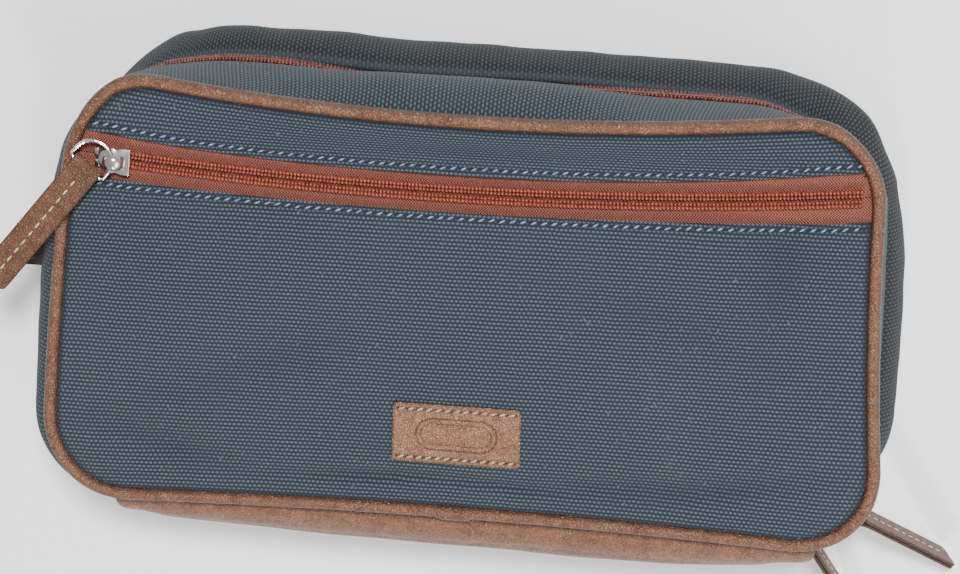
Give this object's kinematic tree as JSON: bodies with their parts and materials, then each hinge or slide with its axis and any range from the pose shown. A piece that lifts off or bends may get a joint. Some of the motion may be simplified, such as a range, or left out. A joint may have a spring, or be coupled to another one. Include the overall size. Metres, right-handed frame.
{
  "type": "shaving kit bag",
  "caption": "Soft clamshell shaving kit bag in blue-grey canvas with leather piping, a zipped front pocket and leather pull straps.",
  "frame": {"origin": "centre of the back panel's flat outer face, which the bag lies on", "axes": "+X to the bag's right seen from the front, +Y towards the bag's top, +Z from the back panel to the front panel"},
  "size_m": [0.3058, 0.1836, 0.0682],
  "materials": {
    "canvas": "coarse blue-grey cotton canvas, plain weave",
    "trim_leather": "smooth brown leather with a light sheen",
    "pull_leather": "pebbled brown leather with dark cut edges",
    "label_leather": "pebbled tan-brown leather",
    "zip_tape": "rust-red herringbone polyester tape",
    "zip_coil": "rust-red nylon coil",
    "nickel": "polished nickel plate",
    "lining": "dark woven nylon lining",
    "piping_cord": "twisted cotton cord, hidden in the piping"
  },
  "bodies": {
    "back_half": {"back_panel": "canvas", "back_piping": "trim_leather", "back_piping_cord": "piping_cord", "back_gusset": "canvas", "base_band_back": "trim_leather", "main_zip_tape_back": "zip_tape", "main_zip_coil_back": "zip_coil", "back_lining": "lining"},
    "front_half": {"front_panel_upper": "canvas", "front_panel_lower": "canvas", "front_piping": "trim_leather", "front_piping_cord": "piping_cord", "front_gusset": "canvas", "base_band_front": "trim_leather", "main_zip_tape_front": "zip_tape", "main_zip_coil_front": "zip_coil", "front_lining": "lining", "pocket_zip_tape_upper": "zip_tape", "pocket_zip_tape_lower": "zip_tape", "pocket_zip_coil_upper": "zip_coil", "pocket_zip_coil_lower": "zip_coil", "pocket_zip_stop_upper": "nickel", "pocket_zip_stop_lower": "nickel", "pocket_back_wall": "lining", "label_patch": "label_leather", "side_tab": "pull_leather"},
    "pocket_slider": {"pocket_slider": "nickel"},
    "pocket_ring": {"pocket_pull_ring": "nickel"},
    "pocket_strap": {"pocket_pull_strap": "pull_leather"},
    "corner_slider": {"corner_slider": "nickel"},
    "corner_ring": {"corner_pull_ring": "nickel"},
    "corner_strap": {"corner_pull_strap": "pull_leather"},
    "side_slider": {"side_slider": "nickel"},
    "side_ring": {"side_pull_ring": "nickel"},
    "side_strap": {"side_pull_strap": "pull_leather"}
  },
  "joints": [
    {"name": "lid_hinge", "type": "hinge", "parent": "back_half", "child": "front_half", "pos_m": [0, -0.0798, 0.032], "axis": [1, 0, 0], "range_deg": [0, 110]},
    {"name": "pocket_slider_run", "type": "hinge", "parent": "front_half", "child": "pocket_slider", "pos_m": [0, 1.29002, 0.0616], "axis": [0, 0, 1], "range_deg": [0, 9.6]},
    {"name": "pocket_ring_swing", "type": "hinge", "parent": "pocket_slider", "child": "pocket_ring", "pos_m": [-0.11118, 0.04143, 0.0664], "axis": [0, 0, 1], "range_deg": [-110, 6]},
    {"name": "pocket_strap_lift", "type": "hinge", "parent": "pocket_ring", "child": "pocket_strap", "pos_m": [-0.11307, 0.03909, 0.0664], "axis": [-0.7771, 0.6293, 0], "range_deg": [0, 120]},
    {"name": "corner_slider_run", "type": "hinge", "parent": "back_half", "child": "corner_slider", "pos_m": [0.0989, -0.0385, 0.032], "axis": [0, 0, 1], "range_deg": [0, 22]},
    {"name": "corner_ring_raise", "type": "hinge", "parent": "corner_slider", "child": "corner_ring", "pos_m": [0.10632, -0.07284, 0.032], "axis": [0.8829, 0.4695, 0], "range_deg": [-75, 0]},
    {"name": "corner_strap_swing", "type": "hinge", "parent": "corner_ring", "child": "corner_strap", "pos_m": [0.10752, -0.07511, 0.03045], "axis": [0.2418, -0.4548, 0.8572], "range_deg": [-60, 8]},
    {"name": "side_slider_run", "type": "hinge", "parent": "corner_slider", "child": "side_slider", "pos_m": [0.0989, -0.0385, 0.032], "axis": [0, 0, 1], "range_deg": [0, 26]},
    {"name": "side_ring_raise", "type": "hinge", "parent": "side_slider", "child": "side_ring", "pos_m": [0.12062, -0.06611, 0.032], "axis": [0.5878, 0.809, 0], "range_deg": [-75, 0]},
    {"name": "side_strap_swing", "type": "hinge", "parent": "side_ring", "child": "side_strap", "pos_m": [0.1227, -0.06762, 0.03045], "axis": [0.4167, -0.3027, 0.8572], "range_deg": [-8, 60]}
  ]
}
